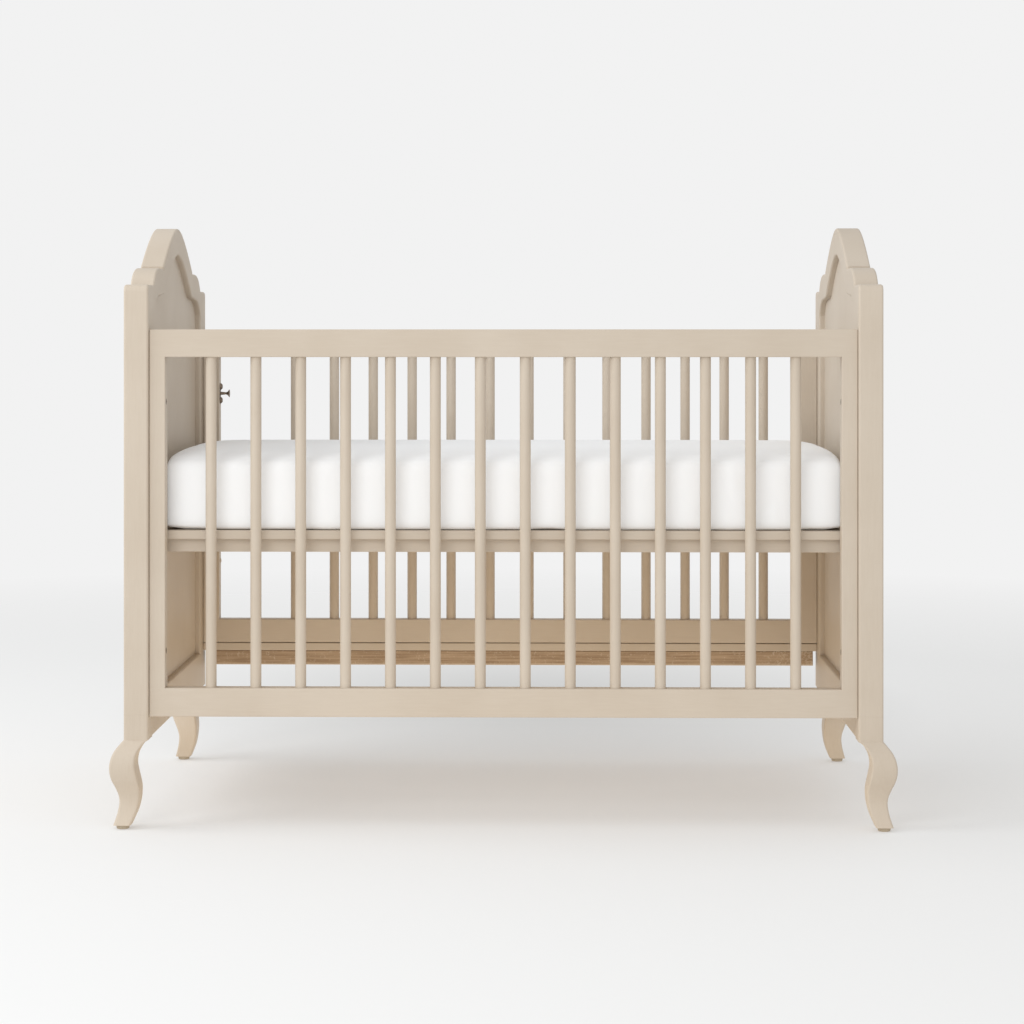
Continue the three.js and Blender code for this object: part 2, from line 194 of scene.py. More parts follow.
from_crib = floor_finish.node("ShaderNodeVectorMath", {"operation": "LENGTH"}, under, out=1)
bounce = floor_finish.between(from_crib, *bounce_fade, 1, 0)
floor_shed = floor_finish.blend(bounce, floor_shown, bounced_glow)
seen_by_camera = floor_finish.node("ShaderNodeLightPath")
floor_light = floor_finish.blend(seen_by_camera, floor_shed, floor_shown)
floor_finish.set(Base_Color=(0.555, 0.55, 0.54, 1), Roughness=0.95, Specular_IOR_Level=0.0,
                 Emission_Color=floor_light, Emission_Strength=floor_glow)
from_middle = floor_finish.node("ShaderNodeVectorMath", {"operation": "LENGTH"},
                                floor_finish.place(), out=1)
fade = floor_finish.between(from_middle, *floor_fade)
see_through = floor_finish.tree.nodes.new("ShaderNodeBsdfTransparent")
floor_mix = floor_finish.tree.nodes.new("ShaderNodeMixShader")
floor_finish.feed(floor_mix.inputs[0], fade)
floor_finish.tree.links.new(floor_finish.surface.outputs[0], floor_mix.inputs[1])
floor_finish.tree.links.new(see_through.outputs[0], floor_mix.inputs[2])
floor_finish.tree.links.new(floor_mix.outputs[0], floor_finish.output.inputs[0])
wear(studio_floor, floor_finish)

surround = bpy.data.worlds.new("studio_surround")
surround.use_nodes = True
sky = surround.node_tree
sky_light = sky.nodes["Background"]
sky_light.inputs[0].default_value = ambient_light
backdrop = sky.nodes.new("ShaderNodeBackground")
backdrop.inputs[0].default_value = surround_white
ray_kind = sky.nodes.new("ShaderNodeLightPath")
sky_mix = sky.nodes.new("ShaderNodeMixShader")
sky.links.new(ray_kind.outputs["Is Camera Ray"], sky_mix.inputs[0])
sky.links.new(sky_light.outputs[0], sky_mix.inputs[1])
sky.links.new(backdrop.outputs[0], sky_mix.inputs[2])
sky.links.new(sky_mix.outputs[0], sky.nodes["World Output"].inputs[0])
bpy.context.scene.world = surround
bpy.context.scene.view_settings.view_transform = "Standard"


def soft_light(name, place, target, size, power, colour):
    """A rectangular softbox at a place, turned towards a target."""
    bpy.ops.object.light_add(type="AREA", location=place)
    lamp = bpy.context.object
    lamp.name = name
    lamp.data.shape = "RECTANGLE"
    lamp.data.size, lamp.data.size_y = size
    lamp.data.energy = power
    lamp.data.color = colour
    lamp.rotation_euler = (Vector(target) - Vector(place)).to_track_quat("-Z", "Y").to_euler()


soft_light("key_softbox", (-1.8, -4.0, 2.4), (0, 0, 0.5), (2.2, 1.8), 42, (0.97, 1.0, 1.03))
soft_light("side_softbox", (-3.4, -0.7, 2.7), (0.3, 0, 0.7), (2.6, 2.2), 62, (0.97, 1.0, 1.03))
soft_light("low_fill", (0.2, -4.2, 0.5), (0, 0.3, 0.35), (2.4, 0.8), 17, (1.0, 0.93, 0.84))

front_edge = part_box("left_end_panel")[0].y
bpy.ops.object.camera_add(location=(camera_side, front_edge - camera_distance, camera_height),
                          rotation=(math.radians(90), 0, camera_turn))
camera = bpy.context.object
camera.data.lens = lens_length
camera.data.shift_y = view_rise
bpy.context.scene.camera = camera


# ---------------------------------------------------------------------------------------------
# End panels: two thick boards sawn to a stepped crown, with a shallow field routed in both faces
# and every edge rounded over. The square block of a leg is let into each lower corner.
# ---------------------------------------------------------------------------------------------
arris_radius = 0.004
lobe_rise, arch_foot, arch_rise = 0.032, 0.036, 0.112  # heights above the shoulder
lobe_start, lobe_bend, lobe_top = 0.066, 0.022, 0.066  # first from the edge, then from the start
arch_start, arch_bend_share = 0.172, 0.69
corner_radius = 0.013
field_margin, field_above_panel_foot, field_drop = 0.065, 0.069, 0.050
field_depth = 0.011
field_step_slant = 0.040  # the routed field rises to its arch in a slope in place of a step
slant_beyond_step = 0.12  # share of the slope that lies past the foot of the arch
field_overlap = 0.004  # how far the thin middle reaches into the frame of the board
leg_block_height = 0.044
panel_gap = 0.00003  # a hairline where a leg block is glued in
cut_margin = 0.01  # how far cutting tools stand out of a piece
curve_steps = 20


def paint(name, along):
    """Beige paint laid off with a brush along one axis, with soft clouding and fine brush lines."""
    finish = Finish(name)
    stretch = {"X": (1, 14, 14), "Y": (14, 1, 14), "Z": (14, 14, 1)}[along]
    clouds = finish.noise(finish.place(), 5.5, 3, 0.55)
    strokes = finish.noise(finish.place(stretch), 22, 3, 0.6)
    fibres = finish.noise(finish.place(stretch), 90, 2, 0.6)
    specks = finish.noise(finish.place(), 900, 1, 0.5)
    warm = (0.548, 0.464, 0.370, 1)
    pale = (0.588, 0.506, 0.412, 1)
    share = finish.between(clouds * 0.6 + strokes * 0.3 + fibres * 0.1, 0.38, 0.62)
    finish.set(
        Base_Color=finish.blend(share, warm, pale),
        Roughness=finish.between(strokes * 0.6 + specks * 0.4, 0.35, 0.65, 0.44, 0.58),
        Specular_IOR_Level=0.3,
    )
    brushed = finish.bump(strokes * 0.5 + fibres * 0.5, 0.10, 0.0006)
    finish.set(Normal=finish.bump(specks, 0.05, 0.0002, brushed))
    return finish


paint_along_z = paint("beige_paint_upright", "Z")
paint_along_x = paint("beige_paint_lengthwise", "X")
paint_along_y = paint("beige_paint_crosswise", "Y")


def bend(start, corner, end, steps=curve_steps):
    """Points of the curve that leaves start towards corner and arrives at end, start left out."""
    points = []
    for step in range(1, steps + 1):
        t = step / steps
        points.append(tuple((1 - t) ** 2 * a + 2 * t * (1 - t) * b + t * t * c
                            for a, b, c in zip(start, corner, end)))
    return points


def crown_line(edge, shoulder, start, step_slant=0.0):
    """The stepped crown as (y, z) points, from its front lobe to its rear lobe."""
    lobe, foot, top = shoulder + lobe_rise, shoulder + arch_foot, shoulder + arch_rise
    bend_at = arch_start + arch_bend_share * (edge - arch_start)
    half = [(start, shoulder)]
    half += bend((start, shoulder), (start + lobe_bend, lobe), (start + lobe_top, lobe))
    half += [(arch_start - step_slant, lobe), (arch_start + slant_beyond_step * step_slant, foot)]
    half += bend(half[-1], (bend_at, top), (edge, top))
    front = [(distance - edge, height) for distance, height in half]
    return front + [(-y, z) for y, z in reversed(front[:-1])]


def apply_modifier(piece, kind, **settings):
    pick(piece)
    modifier = piece.modifiers.new(kind.lower(), kind)
    for key, value in settings.items():
        setattr(modifier, key, value)
    bpy.ops.object.modifier_apply(modifier=modifier.name)


def settle(piece, sharp_angle=38):
    """Puts a piece's place into its mesh, and shades it smooth except over sharp edges."""
    pick(piece)
    bpy.ops.object.transform_apply(location=True, rotation=True, scale=True)
    bpy.ops.object.shade_smooth_by_angle(angle=math.radians(sharp_angle))
    apply_modifier(piece, "WEIGHTED_NORMAL", keep_sharp=True)


def fit(piece, finish, body, replaced=None, sharp_angle=38):
    """Settles a finished piece, gives it its finish, and fixes it to a body."""
    settle(piece, sharp_angle)
    wear(piece, finish)
    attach(piece, body)
    if replaced:
        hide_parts(replaced)


def sawn_plate(name, outlines, thickness, rounding, middle, across="X"):
    """A plate sawn to an outline with holes, its arrises rounded over, standing across X or Y.

    The outlines hold (y, z) points of a plate across X, or (x, z) points of a plate across Y.
    """
    spot = (middle, 0, 0) if across == "X" else (0, middle, 0)
    turn = math.radians(90) if across == "X" else 0
    bpy.ops.curve.primitive_bezier_circle_add(location=spot, rotation=(math.radians(90), 0, turn))
    plate = bpy.context.object
    plate.name = name
    line = plate.data
    line.dimensions = "2D"
    line.fill_mode = "BOTH"
    line.splines.clear()
    for points in outlines:
        spline = line.splines.new("POLY")
        spline.points.add(len(points) - 1)
        for point, (run, rise) in zip(spline.points, points):
            point.co = (run, rise, 0, 1)
        spline.use_cyclic_u = True
    line.extrude = thickness / 2 - rounding
    line.bevel_depth = rounding
    line.bevel_resolution = 3
    line.offset = -rounding
    pick(plate)
    bpy.ops.object.convert(target="MESH")
    bpy.ops.object.mode_set(mode="EDIT")
    bpy.ops.mesh.select_all(action="SELECT")
    bpy.ops.mesh.remove_doubles(threshold=0.00002)
    bpy.ops.mesh.normals_make_consistent(inside=False)
    bpy.ops.object.mode_set(mode="OBJECT")
    bpy.ops.object.transform_apply(location=True, rotation=True, scale=True)
    return plate


def carve(piece, tool, operation="DIFFERENCE"):
    """Cuts a piece with a tool, or joins them, and removes the tool."""
    apply_modifier(piece, "BOOLEAN", object=tool, operation=operation, solver="EXACT")
    bpy.data.objects.remove(tool)


def plain_block(name, low, high):
    low, high = Vector(low), Vector(high)
    bpy.ops.mesh.primitive_cube_add(size=1, location=(low + high) / 2)
    piece = bpy.context.object
    piece.name = name
    piece.scale = high - low
    bpy.ops.object.transform_apply(location=True, rotation=True, scale=True)
    return piece


def field_line(edge, shoulder, panel_foot, grown=0):
    """The routed field's outline, made larger all round by a distance."""
    margin = field_margin - grown
    foot = panel_foot + field_above_panel_foot - grown
    line = crown_line(edge, shoulder - field_drop + grown, margin, field_step_slant)
    return [(margin - edge, foot)] + line + [(edge - margin, foot)]


for end in ("left", "right"):
    low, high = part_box(f"{end}_end_panel")
    edge = high.y
    shoulder = high.z - arch_rise
    thickness = high.x - low.x
    middle_x = (low.x + high.x) / 2
    crown = crown_line(edge, shoulder, lobe_start)
    rim = [(-edge, low.z), (-edge, shoulder - corner_radius)]
    rim += bend(rim[-1], (-edge, shoulder), (corner_radius - edge, shoulder), 8)
    rim += crown + [(-y, z) for y, z in reversed(rim)]
    panel = sawn_plate(f"{end}_panel_board", [rim, field_line(edge, shoulder, low.z)], thickness,
                       arris_radius, middle_x)
    field = sawn_plate("field", [field_line(edge, shoulder, low.z, field_overlap)],
                       thickness - 2 * field_depth, 0, middle_x)
    carve(panel, field, "UNION")
    for side in (-1, 1):
        inner = side * (edge - thickness - panel_gap)
        ys = sorted((inner, side * (edge + cut_margin)))
        notch = plain_block("notch", (low.x - cut_margin, ys[0], low.z - cut_margin),
                            (high.x + cut_margin, ys[1], low.z + leg_block_height + panel_gap))
        carve(panel, notch)
    fit(panel, paint_along_z, "frame", f"{end}_end_panel")


# ---------------------------------------------------------------------------------------------
# Legs: square blanks of the panel's thickness, left square above as a block and carved below in an
# S that leans out to the side and to the front or rear. A small tapered pad is nailed under each.
# ---------------------------------------------------------------------------------------------
leg_stations = (  # share of the carved height, how far the middle has moved out, share of the width
    (1, 0, 1), (0.968, 0.006, 0.93), (0.9, 0.0138, 0.955), (0.83, 0.0186, 0.985),
    (0.74, 0.0209, 1.025), (0.65, 0.0199, 1.065), (0.56, 0.017, 1.055), (0.47, 0.013, 0.97),
    (0.38, 0.0107, 0.86), (0.3, 0.0107, 0.8), (0.2, 0.0136, 0.765), (0.11, 0.0182, 0.725),
    (0.0447, 0.022, 0.7),
)
leg_edge_radius = 0.0042
leg_ring_points = 6  # on each rounded corner
rings_between_stations = 5
glued_edge_radius = 0.0002  # of the block's corners and top edge that meet the panel
pad_sides, pad_taper, pad_edge_radius = 40, 0.875, 0.0008


def run_through(stations, place):
    """A smooth line through the stations, at a place counted in stations."""
    index = min(int(place), len(stations) - 2)
    t = place - index
    before, after = max(index - 1, 0), min(index + 2, len(stations) - 1)
    rows = zip(stations[before], stations[index], stations[index + 1], stations[after])
    return tuple(0.5 * (2 * b + (c - a) * t + (2 * a - 5 * b + 4 * c - d) * t * t
                        + (3 * b - a - 3 * c + d) * t ** 3) for a, b, c, d in rows)


def square_ring(x, y, z, width, outer_rounding, inner_rounding):
    """A level square of points whose two outer corners, and two inner ones, are rounded alike."""
    points = []
    for corner in range(4):
        rounding = outer_rounding if corner < 2 else inner_rounding
        across = (width / 2 - rounding) * (1 if corner in (0, 3) else -1)
        along = (width / 2 - rounding) * (1 if corner < 2 else -1)
        for step in range(leg_ring_points):
            angle = (corner + step / (leg_ring_points - 1)) * math.pi / 2
            points.append(Vector((x + across + rounding * math.cos(angle),
                                  y + along + rounding * math.sin(angle), z)))
    return points


def skin_rings(name, rings):
    """Starts with a flat disc on the first ring and extrudes it from ring to ring."""
    bpy.ops.mesh.primitive_circle_add(vertices=len(rings[0]), radius=0.01, fill_type="NGON")
    piece = bpy.context.object
    piece.name = name
    for vertex, point in zip(piece.data.vertices, rings[0]):
        vertex.co = point
    bpy.ops.object.mode_set(mode="EDIT")
    bpy.ops.mesh.select_all(action="SELECT")
    for before, after in zip(rings, rings[1:]):
        bpy.ops.mesh.extrude_region()
        cage = bmesh.from_edit_mesh(piece.data)
        face = next(f for f in cage.faces if f.select)
        for vertex in face.verts:
            vertex.co = after[min(range(len(before)), key=lambda i: (before[i] - vertex.co).length)]
        bmesh.update_edit_mesh(piece.data)
    bpy.ops.mesh.select_all(action="SELECT")
    bpy.ops.mesh.normals_make_consistent(inside=False)
    bpy.ops.object.mode_set(mode="OBJECT")
    return piece


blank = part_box("left_end_panel")[1].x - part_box("left_end_panel")[0].x
panel_low, panel_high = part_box("right_end_panel")
leg_x, leg_y = panel_low.x + blank / 2, panel_high.y - blank / 2
carved_height = panel_low.z
block_top = carved_height + leg_block_height
rings = [square_ring(leg_x, leg_y, block_top, blank - 2 * glued_edge_radius, arris_radius,
                     glued_edge_radius),
         square_ring(leg_x, leg_y, block_top - glued_edge_radius, blank, arris_radius,
                     glued_edge_radius),
         square_ring(leg_x, leg_y, carved_height + glued_edge_radius, blank, arris_radius,
                     glued_edge_radius)]
station_count = len(leg_stations) - 1
for step in range(station_count * rings_between_stations + 1):
    height, move, width = run_through(leg_stations, step / rings_between_stations)
    eased = min(1, step / rings_between_stations)
    rings.append(square_ring(leg_x + move, leg_y + move, height * carved_height, width * blank,
                             arris_radius + (leg_edge_radius - arris_radius) * eased,
                             glued_edge_radius + (leg_edge_radius - glued_edge_radius) * eased))
foot_x, foot_y = leg_x + leg_stations[-1][1], leg_y + leg_stations[-1][1]
model_leg = skin_rings("model_leg", rings)


def round_edges(piece, radius, steps=4):
    apply_modifier(piece, "BEVEL", width=radius, segments=steps, limit_method="ANGLE")


def mirrored_copy(piece, name, x_side, y_side):
    """A copy with its own mesh, mirrored over the crib's middle planes, its faces put right."""
    copy = piece.copy()
    copy.data = piece.data.copy()
    copy.name = name
    bpy.context.scene.collection.objects.link(copy)
    copy.data.transform(Matrix.Diagonal((x_side, y_side, 1, 1)))
    if x_side * y_side < 0:
        copy.data.flip_normals()
    return copy


pad_finish = Finish("tan_glide_pad")
pad_grain = pad_finish.noise(pad_finish.place(), 300, 3)
pad_finish.set(
    Base_Color=pad_finish.blend(pad_grain, (0.36, 0.30, 0.22, 1), (0.47, 0.40, 0.31, 1)),
    Roughness=0.75,
    Normal=pad_finish.bump(pad_grain, 0.3, 0.0004),
)
glide_low, glide_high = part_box("rear_right_glide")
glide_radius = (glide_high.x - glide_low.x) / 2
bpy.ops.mesh.primitive_cylinder_add(vertices=pad_sides, radius=glide_radius, depth=glide_high.z,
                                    location=(foot_x, foot_y, glide_high.z / 2))
model_glide = bpy.context.object
model_glide.name = "model_glide"
bpy.ops.object.mode_set(mode="EDIT")
cage = bmesh.from_edit_mesh(model_glide.data)
for face in cage.faces:
    face.select_set(face.normal.z < -0.9)
bmesh.update_edit_mesh(model_glide.data)
bpy.ops.transform.resize(value=(pad_taper, pad_taper, 1), center_override=(foot_x, foot_y, 0))
bpy.ops.object.mode_set(mode="OBJECT")
settle(model_glide)
round_edges(model_glide, pad_edge_radius, 3)
settle(model_glide)

for face_name, y_side in (("front", -1), ("rear", 1)):
    for end, x_side in (("left", -1), ("right", 1)):
        leg = mirrored_copy(model_leg, f"{face_name}_{end}_carved_leg", x_side, y_side)
        fit(leg, paint_along_z, "frame", f"{face_name}_{end}_leg", 24)
        pad = mirrored_copy(model_glide, f"{face_name}_{end}_foot_pad", x_side, y_side)
        fit(pad, pad_finish, "frame", f"{face_name}_{end}_glide")
bpy.data.objects.remove(model_leg)
bpy.data.objects.remove(model_glide)


# ---------------------------------------------------------------------------------------------
# Barred sides: each is two rails with two stiles glued between them, sanded flush as one frame, and
# fourteen round bars glued into blind holes in the rails. The rear side is shorter.
# ---------------------------------------------------------------------------------------------
side_arris = 0.0016
side_reach = 0.0004  # the frames are planed to fit the end panels this much closer
glue_line = 0.00003
socket_play = 0.0003
bar_count = 14
bar_radius, bar_end_radius = 0.0095, 0.001
beyond = 0.02  # how far the cuts between a frame's members reach past it
bolt_radius, bolt_head_radius, bolt_head_thickness = 0.003, 0.0055, 0.005
pin_radius, pin_head_radius = 0.00275, 0.00775
hole_play = 0.0003  # between a bolt or a pin and its hole


def rod(name, start, end, radius, sides=32):
    """A plain round rod between two points."""
    start, end = Vector(start), Vector(end)
    line = end - start
    bpy.ops.mesh.primitive_cylinder_add(vertices=sides, radius=radius, depth=line.length,
                                        location=(start + end) / 2)
    piece = bpy.context.object
    piece.name = name
    piece.rotation_euler = line.to_track_quat("Z", "Y").to_euler()
    bpy.ops.object.transform_apply(location=True, rotation=True, scale=True)
    return piece


def drill(piece, holes):
    """Cuts round holes, each given by its start, its end and its radius."""
    bits = [rod("bit", *hole) for hole in holes]
    pick(bits[0])
    for bit in bits[1:]:
        bit.select_set(True)
    bpy.ops.object.join()
    carve(piece, bits[0])


def rectangle(low_x, low_z, high_x, high_z):
    return [(low_x, low_z), (high_x, low_z), (high_x, high_z), (low_x, high_z)]


def cut_out(ring, name, low, high):
    """The part of a frame that lies within a block, as a piece of its own."""
    part = mirrored_copy(ring, name, 1, 1)
    carve(part, plain_block("keep", low, high), "INTERSECT")
    return part


for face_name, body in (("front", "frame"), ("rear", "rear_side")):
    top_low, top_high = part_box(f"{face_name}_top_rail")
    foot_low, foot_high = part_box(f"{face_name}_bottom_rail")
    stile_low, stile_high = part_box(f"{face_name}_right_stile")
    bar_low, bar_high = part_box(f"{face_name}_bar_01")
    middle_y = (top_low.y + top_high.y) / 2
    upper_joint = (stile_high.z + top_low.z) / 2
    lower_joint = (stile_low.z + foot_high.z) / 2
    opening = rectangle(-stile_low.x, lower_joint, stile_low.x, upper_joint)
    edge_line = rectangle(foot_low.x - side_reach, foot_low.z, top_high.x + side_reach, top_high.z)
    frame_ring = sawn_plate("frame_ring", [edge_line, opening], top_high.y - top_low.y, side_arris,
                            middle_y, across="Y")
    front_y, back_y = top_low.y - cut_margin, top_high.y + cut_margin
    top_rail = cut_out(frame_ring, f"{face_name}_rail_above",
                       (top_low.x - beyond, front_y, upper_joint + glue_line / 2),
                       (top_high.x + beyond, back_y, top_high.z + beyond))
    bottom_rail = cut_out(frame_ring, f"{face_name}_rail_below",
                          (foot_low.x - beyond, front_y, foot_low.z - beyond),
                          (foot_high.x + beyond, back_y, lower_joint - glue_line / 2))
    bars = [f"{face_name}_bar_{number:02d}" for number in range(1, bar_count + 1)]
    middles = [(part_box(bar)[0].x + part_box(bar)[1].x) / 2 for bar in bars]
    socket_radius = bar_radius + socket_play
    drill(top_rail, [((x, middle_y, upper_joint - cut_margin),
                      (x, middle_y, bar_high.z + socket_play), socket_radius) for x in middles])
    drill(bottom_rail, [((x, middle_y, bar_low.z - socket_play),
                         (x, middle_y, lower_joint + cut_margin), socket_radius) for x in middles])
    fit(top_rail, paint_along_x, body, f"{face_name}_top_rail")
    fit(bottom_rail, paint_along_x, body, f"{face_name}_bottom_rail")

    for end, side in (("left", -1), ("right", 1)):
        xs = sorted((side * (stile_low.x - beyond), side * (stile_high.x + beyond)))
        stile = cut_out(frame_ring, f"{face_name}_{end}_upright",
                        (xs[0], front_y, lower_joint + glue_line / 2),
                        (xs[1], back_y, upper_joint - glue_line / 2))
        outside, inside = side * (stile_high.x + cut_margin), side * (stile_low.x - cut_margin)
        if face_name == "front":
            seats = [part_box(f"front_{end}_{level}_bolt") for level in ("upper", "lower")]
            heights = [(low.z + high.z) / 2 for low, high in seats]
            head_seat = side * (stile_low.x + bolt_head_thickness + hole_play)
            drill(stile, [((outside, middle_y, z), (inside, middle_y, z), bolt_radius + hole_play)
                          for z in heights])
            drill(stile, [((head_seat, middle_y, z), (inside, middle_y, z),
                           bolt_head_radius + hole_play) for z in heights])
        else:
            pin_low, pin_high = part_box(f"{end}_catch_pin")
            z = (pin_low.z + pin_high.z) / 2
            drill(stile, [((outside, middle_y, z), (inside, middle_y, z), pin_radius + hole_play)])
        fit(stile, paint_along_z, body, f"{face_name}_{end}_stile")

    model_bar = rod("model_bar", (0, middle_y, bar_low.z), (0, middle_y, bar_high.z), bar_radius,
                    sides=40)
    round_edges(model_bar, bar_end_radius, 2)
    for bar, x in zip(bars, middles):
        dowel = mirrored_copy(model_bar, f"{bar}_dowel", 1, 1)
        dowel.data.transform(Matrix.Translation((x, 0, 0)))
        fit(dowel, paint_along_z, body, bar)
    bpy.data.objects.remove(model_bar)
    bpy.data.objects.remove(frame_ring)


# ---------------------------------------------------------------------------------------------
# Fastenings: bronzed socket bolts through the front stiles, and on the rear stiles spring catch
# pins with a flared pull head, each in a small plate held by two domed screws. Low on each rear
# stile a painted wooden plug covers a screw hole.
# ---------------------------------------------------------------------------------------------
bronze = Finish("worn_bronze")
patina = bronze.noise(bronze.place(), 160, 3)
bronze.set(
    Base_Color=bronze.blend(bronze.between(patina, 0.4, 0.65), (0.17, 0.125, 0.09, 1),
                            (0.34, 0.27, 0.21, 1)),
    Metallic=0.55,
    Roughness=bronze.between(patina, 0.3, 0.7, 0.42, 0.58),
    Normal=bronze.bump(patina, 0.15, 0.0002),
)


def turned(name, profile, start, side, sides=32):
    """A piece turned about a line along X, from a profile of (radius, distance inwards) steps."""
    rings = []
    for radius, distance in profile:
        x = start.x - side * distance
        angles = [2 * math.pi * i / sides for i in range(sides)]
        rings.append([Vector((x, start.y + radius * math.cos(a), start.z + radius * math.sin(a)))
                      for a in angles])
    return skin_rings(name, rings)


plate_half_height, plate_half_width, plate_thickness = 0.0205, 0.0075, 0.0009
plate_gap = 0.00005  # a hairline between pieces that are screwed together
screw_offset, screw_radius, screw_rise = 0.0138, 0.0066, 0.0046
screw_slot_depth, screw_slot_half_width, screw_slot_half_length = 0.0011, 0.0005, 0.004
plug_radius, plug_rise, plug_height = 0.0055, 0.0026, 0.4026
key_radius, key_depth = 0.0024, 0.003


def dome(radius, rise, steps, step_angle):
    """The profile of a low dome, from its foot to near its top."""
    angles = [math.radians(step * step_angle) for step in range(steps)]
    return [(radius * math.cos(angle), rise * math.sin(angle)) for angle in angles]


for end, side in (("left", -1), ("right", 1)):
    for level in ("upper", "lower"):
        low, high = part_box(f"front_{end}_{level}_bolt")
        tip = high.x if side > 0 else low.x
        length = high.x - low.x
        start = Vector((tip, (low.y + high.y) / 2, (low.z + high.z) / 2))
        head = length - bolt_head_thickness
        bolt = turned(f"front_{end}_{level}_socket_bolt",
                      [(bolt_radius - 0.0006, 0), (bolt_radius, 0.0008), (bolt_radius, head),
                       (bolt_head_radius - 0.0004, head), (bolt_head_radius, head + 0.0004),
                       (bolt_head_radius, length - 0.0006), (bolt_head_radius - 0.0006, length)],
                      start, side)
        key_start = start - Vector((side * (length - key_depth), 0, 0))
        carve(bolt, turned("key", [(key_radius, 0), (key_radius, cut_margin)], key_start, side, 6))
        fit(bolt, bronze, "frame", f"front_{end}_{level}_bolt", 30)

    low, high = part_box(f"{end}_catch_pin")
    tip = high.x if side > 0 else low.x
    length = high.x - low.x
    start = Vector((tip, (low.y + high.y) / 2, (low.z + high.z) / 2))
    pin = turned(f"{end}_pull_pin",
                 [(pin_radius - 0.0006, 0), (pin_radius, 0.0006), (pin_radius, length - 0.0180),
                  (0.0032, length - 0.0175), (0.0032, length - 0.0160), (0.0027, length - 0.0110),
                  (0.0023, length - 0.0078), (0.0024, length - 0.0064), (0.0033, length - 0.0046),
                  (0.0050, length - 0.0029), (0.0068, length - 0.0017),
                  (pin_head_radius, length - 0.0011), (pin_head_radius, length - 0.0006),
                  (0.0070, length - 0.0001), (0.004, length)],
                 start, side)
    fit(pin, bronze, f"{end}_catch", f"{end}_catch_pin", 30)

    stile_low, stile_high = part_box(f"rear_{end}_stile")
    face_x = stile_high.x if side < 0 else stile_low.x
    xs = sorted((face_x - side * plate_gap, face_x - side * plate_thickness))
    plate = plain_block(f"{end}_pin_escutcheon",
                        (xs[0], start.y - plate_half_width, start.z - plate_half_height),
                        (xs[1], start.y + plate_half_width, start.z + plate_half_height))
    bpy.ops.object.mode_set(mode="EDIT")
    cage = bmesh.from_edit_mesh(plate.data)
    bpy.ops.mesh.select_all(action="DESELECT")
    for line in cage.edges:
        run = line.verts[0].co - line.verts[1].co
        line.select_set(abs(run.x) > abs(run.y) + abs(run.z))
    bmesh.update_edit_mesh(plate.data)
    bpy.ops.mesh.bevel(offset=plate_half_width * 0.96, segments=8, affect="EDGES")
    bpy.ops.object.mode_set(mode="OBJECT")
    drill(plate, [((face_x - cut_margin, start.y, start.z), (face_x + cut_margin, start.y, start.z),
                   pin_radius + 0.0004)])
    apply_modifier(plate, "BEVEL", width=0.0003, segments=2, limit_method="ANGLE",
                   angle_limit=math.radians(50))
    fit(plate, bronze, "rear_side", sharp_angle=30)
    for level, rise in (("upper", screw_offset), ("lower", -screw_offset)):
        centre = Vector((face_x - side * (plate_thickness + plate_gap), start.y, start.z + rise))
        screw = turned(f"{end}_escutcheon_{level}_screw", dome(screw_radius, screw_rise, 9, 10),
                       centre, side, 28)
        slot_floor = centre.x - side * (screw_rise - screw_slot_depth)
        xs = sorted((slot_floor, slot_floor - side * 0.006))
        half_slot = Vector((0, screw_slot_half_length, screw_slot_half_width))
        slot = plain_block("slot", Vector((xs[0], centre.y, centre.z)) - half_slot,
                           Vector((xs[1], centre.y, centre.z)) + half_slot)
        carve(screw, slot)
        fit(screw, bronze, "rear_side", sharp_angle=30)

    centre = Vector((face_x - side * plate_gap, start.y, plug_height))
    plug = turned(f"{end}_stile_plug", dome(plug_radius, plug_rise, 8, 12), centre, side, 24)
    fit(plug, paint_along_z, "rear_side", sharp_angle=30)


# ---------------------------------------------------------------------------------------------
# Sill: a painted board that ties the end panels together under the rear side, with a raw softwood
# batten screwed under it that was cut short with a coarse saw and never painted.
# ---------------------------------------------------------------------------------------------
def board(node, name, finish, body, radius):
    """A sawn board in the place of a CAD node, with its edges rounded."""
    piece = plain_block(name, *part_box(node))
    round_edges(piece, radius)
    fit(piece, finish, body, node)


board("rear_sill", "rear_tie_board", paint_along_x, "frame", 0.0018)

raw_wood = Finish("raw_softwood")
batten_low, batten_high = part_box("rear_sill_batten")
growth = raw_wood.noise(raw_wood.place((1.2, 34, 34)), 9, 4, 0.62)
pores = raw_wood.noise(raw_wood.place((5, 150, 150)), 9, 3, 0.6)
pale_foot_wobble = raw_wood.noise(raw_wood.place((3, 6, 6)), 4, 3, 0.6)
speckle = raw_wood.noise(raw_wood.place((1, 1, 1)), 260, 3, 0.7)
along_batten = raw_wood.node("ShaderNodeSeparateXYZ", None, raw_wood.place(), out=0)
up_batten = raw_wood.node("ShaderNodeSeparateXYZ", None, raw_wood.place(), out=2)
grain_colour = raw_wood.blend(raw_wood.between(growth, 0.36, 0.66), (0.315, 0.215, 0.135, 1),
                              (0.50, 0.37, 0.255, 1))
# paler along the bottom of the batten, its upper limit made uneven by noise
pale_foot = raw_wood.between(up_batten + pale_foot_wobble * 0.004, batten_low.z + 0.0065,
                             batten_low.z + 0.0045)
edged = raw_wood.blend(pale_foot * 0.55, grain_colour, (0.66, 0.54, 0.41, 1))
